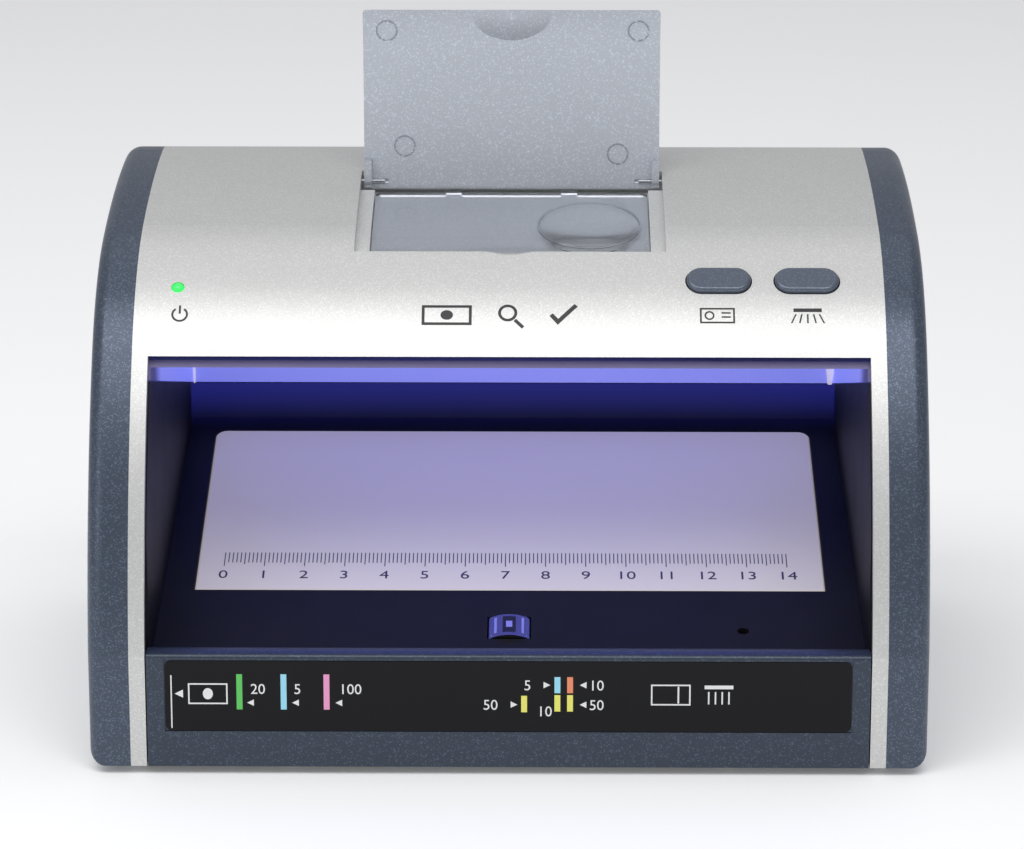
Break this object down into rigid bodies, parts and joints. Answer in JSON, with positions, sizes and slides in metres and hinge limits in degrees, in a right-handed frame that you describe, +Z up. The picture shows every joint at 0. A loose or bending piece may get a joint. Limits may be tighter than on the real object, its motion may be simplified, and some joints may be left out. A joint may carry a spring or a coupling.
{
  "type": "counterfeit bill detector",
  "caption": "Counter-top banknote checker: an open front viewing bay with ultraviolet lamps, a back-lit watermark plate, a magnetic read head and a flip-up magnifier lid.",
  "frame": {"origin": "under the middle of the unit, level with the soles of its feet", "axes": "+X to the user's right across the long side, +Y from the open front to the back, +Z up"},
  "size_m": [0.2, 0.148, 0.17],
  "materials": {
    "silver_plastic": "satin metallic silver",
    "blue_plastic": "satin metallic slate blue",
    "blue_gloss": "gloss",
    "black_plastic": "fine texture",
    "pale_plastic": "smooth",
    "white_plastic": "smooth",
    "clear_plastic": "polished",
    "label": "gloss print",
    "chrome": "polished",
    "steel": "zinc plated",
    "aluminium": "satin",
    "lamp_glass": "glowing",
    "green_lens": "clear green",
    "foot_rubber": "matte",
    "board": "solder mask",
    "component": "moulded",
    "lead": "insulation"
  },
  "bodies": {
    "housing": {"top_cover": "silver_plastic", "left_side_cover": "blue_plastic", "right_side_cover": "blue_plastic", "side_cover_screws": "steel", "base_pan": "black_plastic", "base_screws": "steel", "rubber_feet": "foot_rubber", "front_panel": "blue_plastic", "front_label": "label", "bay_tub": "black_plastic", "watermark_plate": "white_plastic", "light_box": "white_plastic", "backlight_board": "board", "backlight_leds": "white_plastic", "magnetic_head": "chrome", "head_bracket": "steel", "head_screws": "steel", "lamp_hood": "pale_plastic", "hood_screws": "steel", "left_lamp_holder": "white_plastic", "right_lamp_holder": "white_plastic", "front_uv_tube": "lamp_glass", "rear_uv_tube": "lamp_glass", "tube_end_caps": "aluminium", "main_board": "board", "board_screws": "steel", "lamp_transformer": "component", "capacitors": "component", "buzzer": "component", "control_chips": "component", "connectors": "white_plastic", "dc_jack": "component", "button_board": "board", "tact_switches": "component", "power_indicator": "green_lens", "indicator_board": "board", "magnifier_card": "clear_plastic", "left_lamp_lead": "lead", "right_lamp_lead": "lead", "button_lead": "lead", "indicator_lead": "lead", "backlight_lead": "lead", "head_lead": "lead"},
    "lid": {"lid": "silver_plastic", "left_hinge_pin": "steel", "right_hinge_pin": "steel"},
    "wm_button": {"wm_button": "blue_gloss"},
    "uv_button": {"uv_button": "blue_gloss"}
  },
  "joints": [
    {"name": "lid_hinge", "type": "hinge", "parent": "housing", "child": "lid", "pos_m": [0, 0.0167, 0.12586], "axis": [1, 0, 0], "range_deg": [0, 101]},
    {"name": "wm_button_press", "type": "slide", "parent": "housing", "child": "wm_button", "axis": [0, 0.5951, -0.8036], "range_m": [0, 0.0009], "stiffness_N_per_m": 1500},
    {"name": "uv_button_press", "type": "slide", "parent": "housing", "child": "uv_button", "axis": [0, 0.5951, -0.8036], "range_m": [0, 0.0009], "stiffness_N_per_m": 1500}
  ]
}
